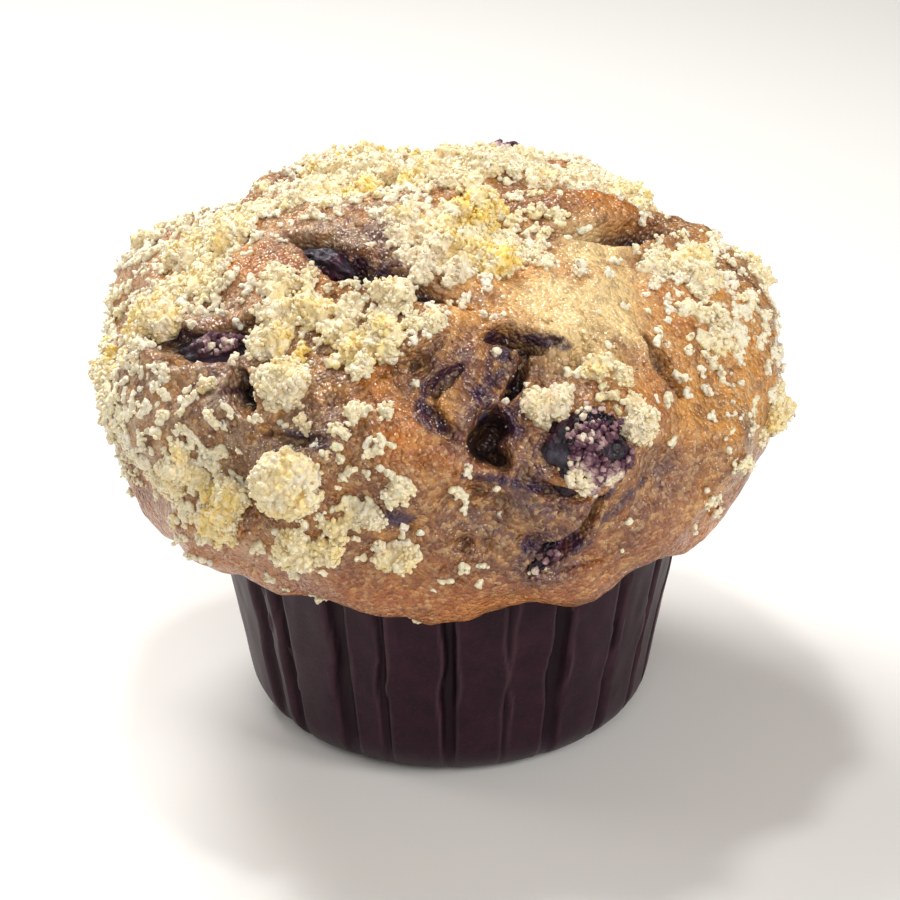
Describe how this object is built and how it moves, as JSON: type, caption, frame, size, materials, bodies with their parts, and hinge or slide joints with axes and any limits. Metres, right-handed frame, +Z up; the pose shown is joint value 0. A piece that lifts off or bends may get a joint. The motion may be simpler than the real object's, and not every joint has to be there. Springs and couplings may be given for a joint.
{
  "type": "berry streusel muffin",
  "caption": "Large domed berry muffin with a cracked golden cap, pale streusel crumbs and dark berries, baked in a pleated dark brown paper case.",
  "frame": {"origin": "centre of the flat base that the paper case stands on", "axes": "+Z up from the base to the crown of the cap; -Y towards the side with the large berry and the main crack, the muffin's front; +X to the right seen from the front"},
  "size_m": [0.0899, 0.0951, 0.0769],
  "materials": {
    "cake": "baked muffin crumb and crust: golden brown, uneven, with purple berry stains, faintly glossy with sugar",
    "streusel": "baked butter and sugar streusel: pale butter yellow, matte, granular",
    "berry": "baked dark berries: near black purple, wet and glossy",
    "paper": "dark brown greaseproof baking paper, pleated, satin"
  },
  "bodies": {
    "root": {"cake": "cake", "paper_case": "paper", "berry_front": "berry", "berry_crack": "berry", "berry_left": "berry", "berry_low": "berry", "berry_crown": "berry", "berry_back": "berry", "berry_back_left": "berry", "lump_round": "streusel", "lump_square": "streusel", "lump_double": "streusel", "lump_right": "streusel", "lump_low_left": "streusel", "lump_left": "streusel", "lump_flank": "streusel", "lump_low": "streusel", "lump_low_right": "streusel", "lump_crown": "streusel", "lump_crown_front": "streusel", "lump_side": "streusel", "lump_back": "streusel", "lump_back_left": "streusel"}
  },
  "joints": []
}
